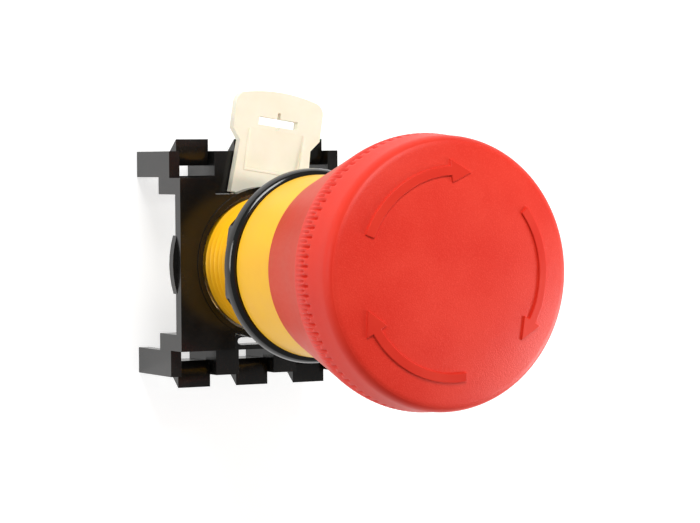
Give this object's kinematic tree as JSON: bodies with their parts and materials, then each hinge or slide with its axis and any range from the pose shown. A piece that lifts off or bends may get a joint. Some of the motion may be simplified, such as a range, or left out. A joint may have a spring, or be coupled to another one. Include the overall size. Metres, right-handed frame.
{
  "type": "emergency stop button",
  "caption": "Twist-release red mushroom button with yellow bezel and threaded barrel, panel nut, gasket and a click-on black contact block holder with a locking lever.",
  "frame": {"origin": "on the button's axis at the panel's front face, which is the rear face of the gasket", "axes": "+Z out of the panel along the button's axis, +Y to the locking lever's side, +X to the right seen from the front"},
  "size_m": [0.04, 0.0473, 0.0759],
  "materials": {
    "red_plastic": "satin moulded red plastic with a fine texture",
    "red_skirt_plastic": "smooth moulded red plastic",
    "yellow_plastic": "smooth moulded yellow plastic",
    "black_plastic": "smooth moulded black plastic",
    "black_rubber": "semi-gloss moulded rubber",
    "cream_plastic": "smooth moulded cream plastic",
    "spring_steel": "bright drawn or stamped steel",
    "grey_acetal": "machined-smooth moulded acetal",
    "white_acetal": "moulded white acetal"
  },
  "bodies": {
    "housing": {"bezel_barrel": "yellow_plastic", "panel_gasket": "black_rubber", "guide_bush": "grey_acetal", "lip_seal": "black_rubber", "retaining_ring": "spring_steel", "torsion_spring": "spring_steel", "latch_carrier": "black_plastic", "latch_spring": "spring_steel", "return_spring": "spring_steel", "lower_bush": "black_plastic", "adapter_frame": "black_plastic"},
    "plunger": {"actuator": "white_acetal"},
    "button_head": {"mushroom_cap": "red_plastic", "cap_skirt": "red_skirt_plastic", "cap_pin": "spring_steel", "stem": "grey_acetal", "stem_clip": "spring_steel"},
    "left_latch": {"latch_pin_left": "spring_steel"},
    "right_latch": {"latch_pin_right": "spring_steel"},
    "washer": {"thrust_washer": "spring_steel"},
    "nut": {"panel_nut": "black_plastic"},
    "lever": {"locking_lever": "cream_plastic"}
  },
  "joints": [
    {"name": "press", "type": "slide", "parent": "housing", "child": "plunger", "axis": [0, 0, -1], "range_m": [0, 0.0045], "deforming": ["return_spring"]},
    {"name": "twist", "type": "hinge", "parent": "plunger", "child": "button_head", "pos_m": [0, 0, 0.03], "axis": [0, 0, -1], "range_deg": [0, 45], "stiffness_Nm_per_rad": 0.04},
    {"name": "left_latch_slide", "type": "slide", "parent": "housing", "child": "left_latch", "axis": [1, 0, 0], "range_m": [0, 0.001]},
    {"name": "right_latch_slide", "type": "slide", "parent": "housing", "child": "right_latch", "axis": [-1, 0, 0], "range_m": [0, 0.001]},
    {"name": "nut_turn", "type": "hinge", "parent": "washer", "child": "nut", "pos_m": [0, 0, -0.0025], "axis": [0, 0, -1], "range_deg": [0, 1433]},
    {"name": "washer_slide", "type": "slide", "parent": "housing", "child": "washer", "axis": [0, 0, -1], "range_m": [0, 0.006]},
    {"name": "lever_swing", "type": "hinge", "parent": "housing", "child": "lever", "pos_m": [0, 0, -0.0185], "axis": [0, 0, -1], "range_deg": [0, 28]}
  ],
  "couplings": [
    {"joint": "left_latch_slide", "follows": "press", "ratio": 0.2},
    {"joint": "right_latch_slide", "follows": "press", "ratio": 0.2},
    {"joint": "washer_slide", "follows": "nut_turn", "m_per_rad": 0.00023873}
  ]
}
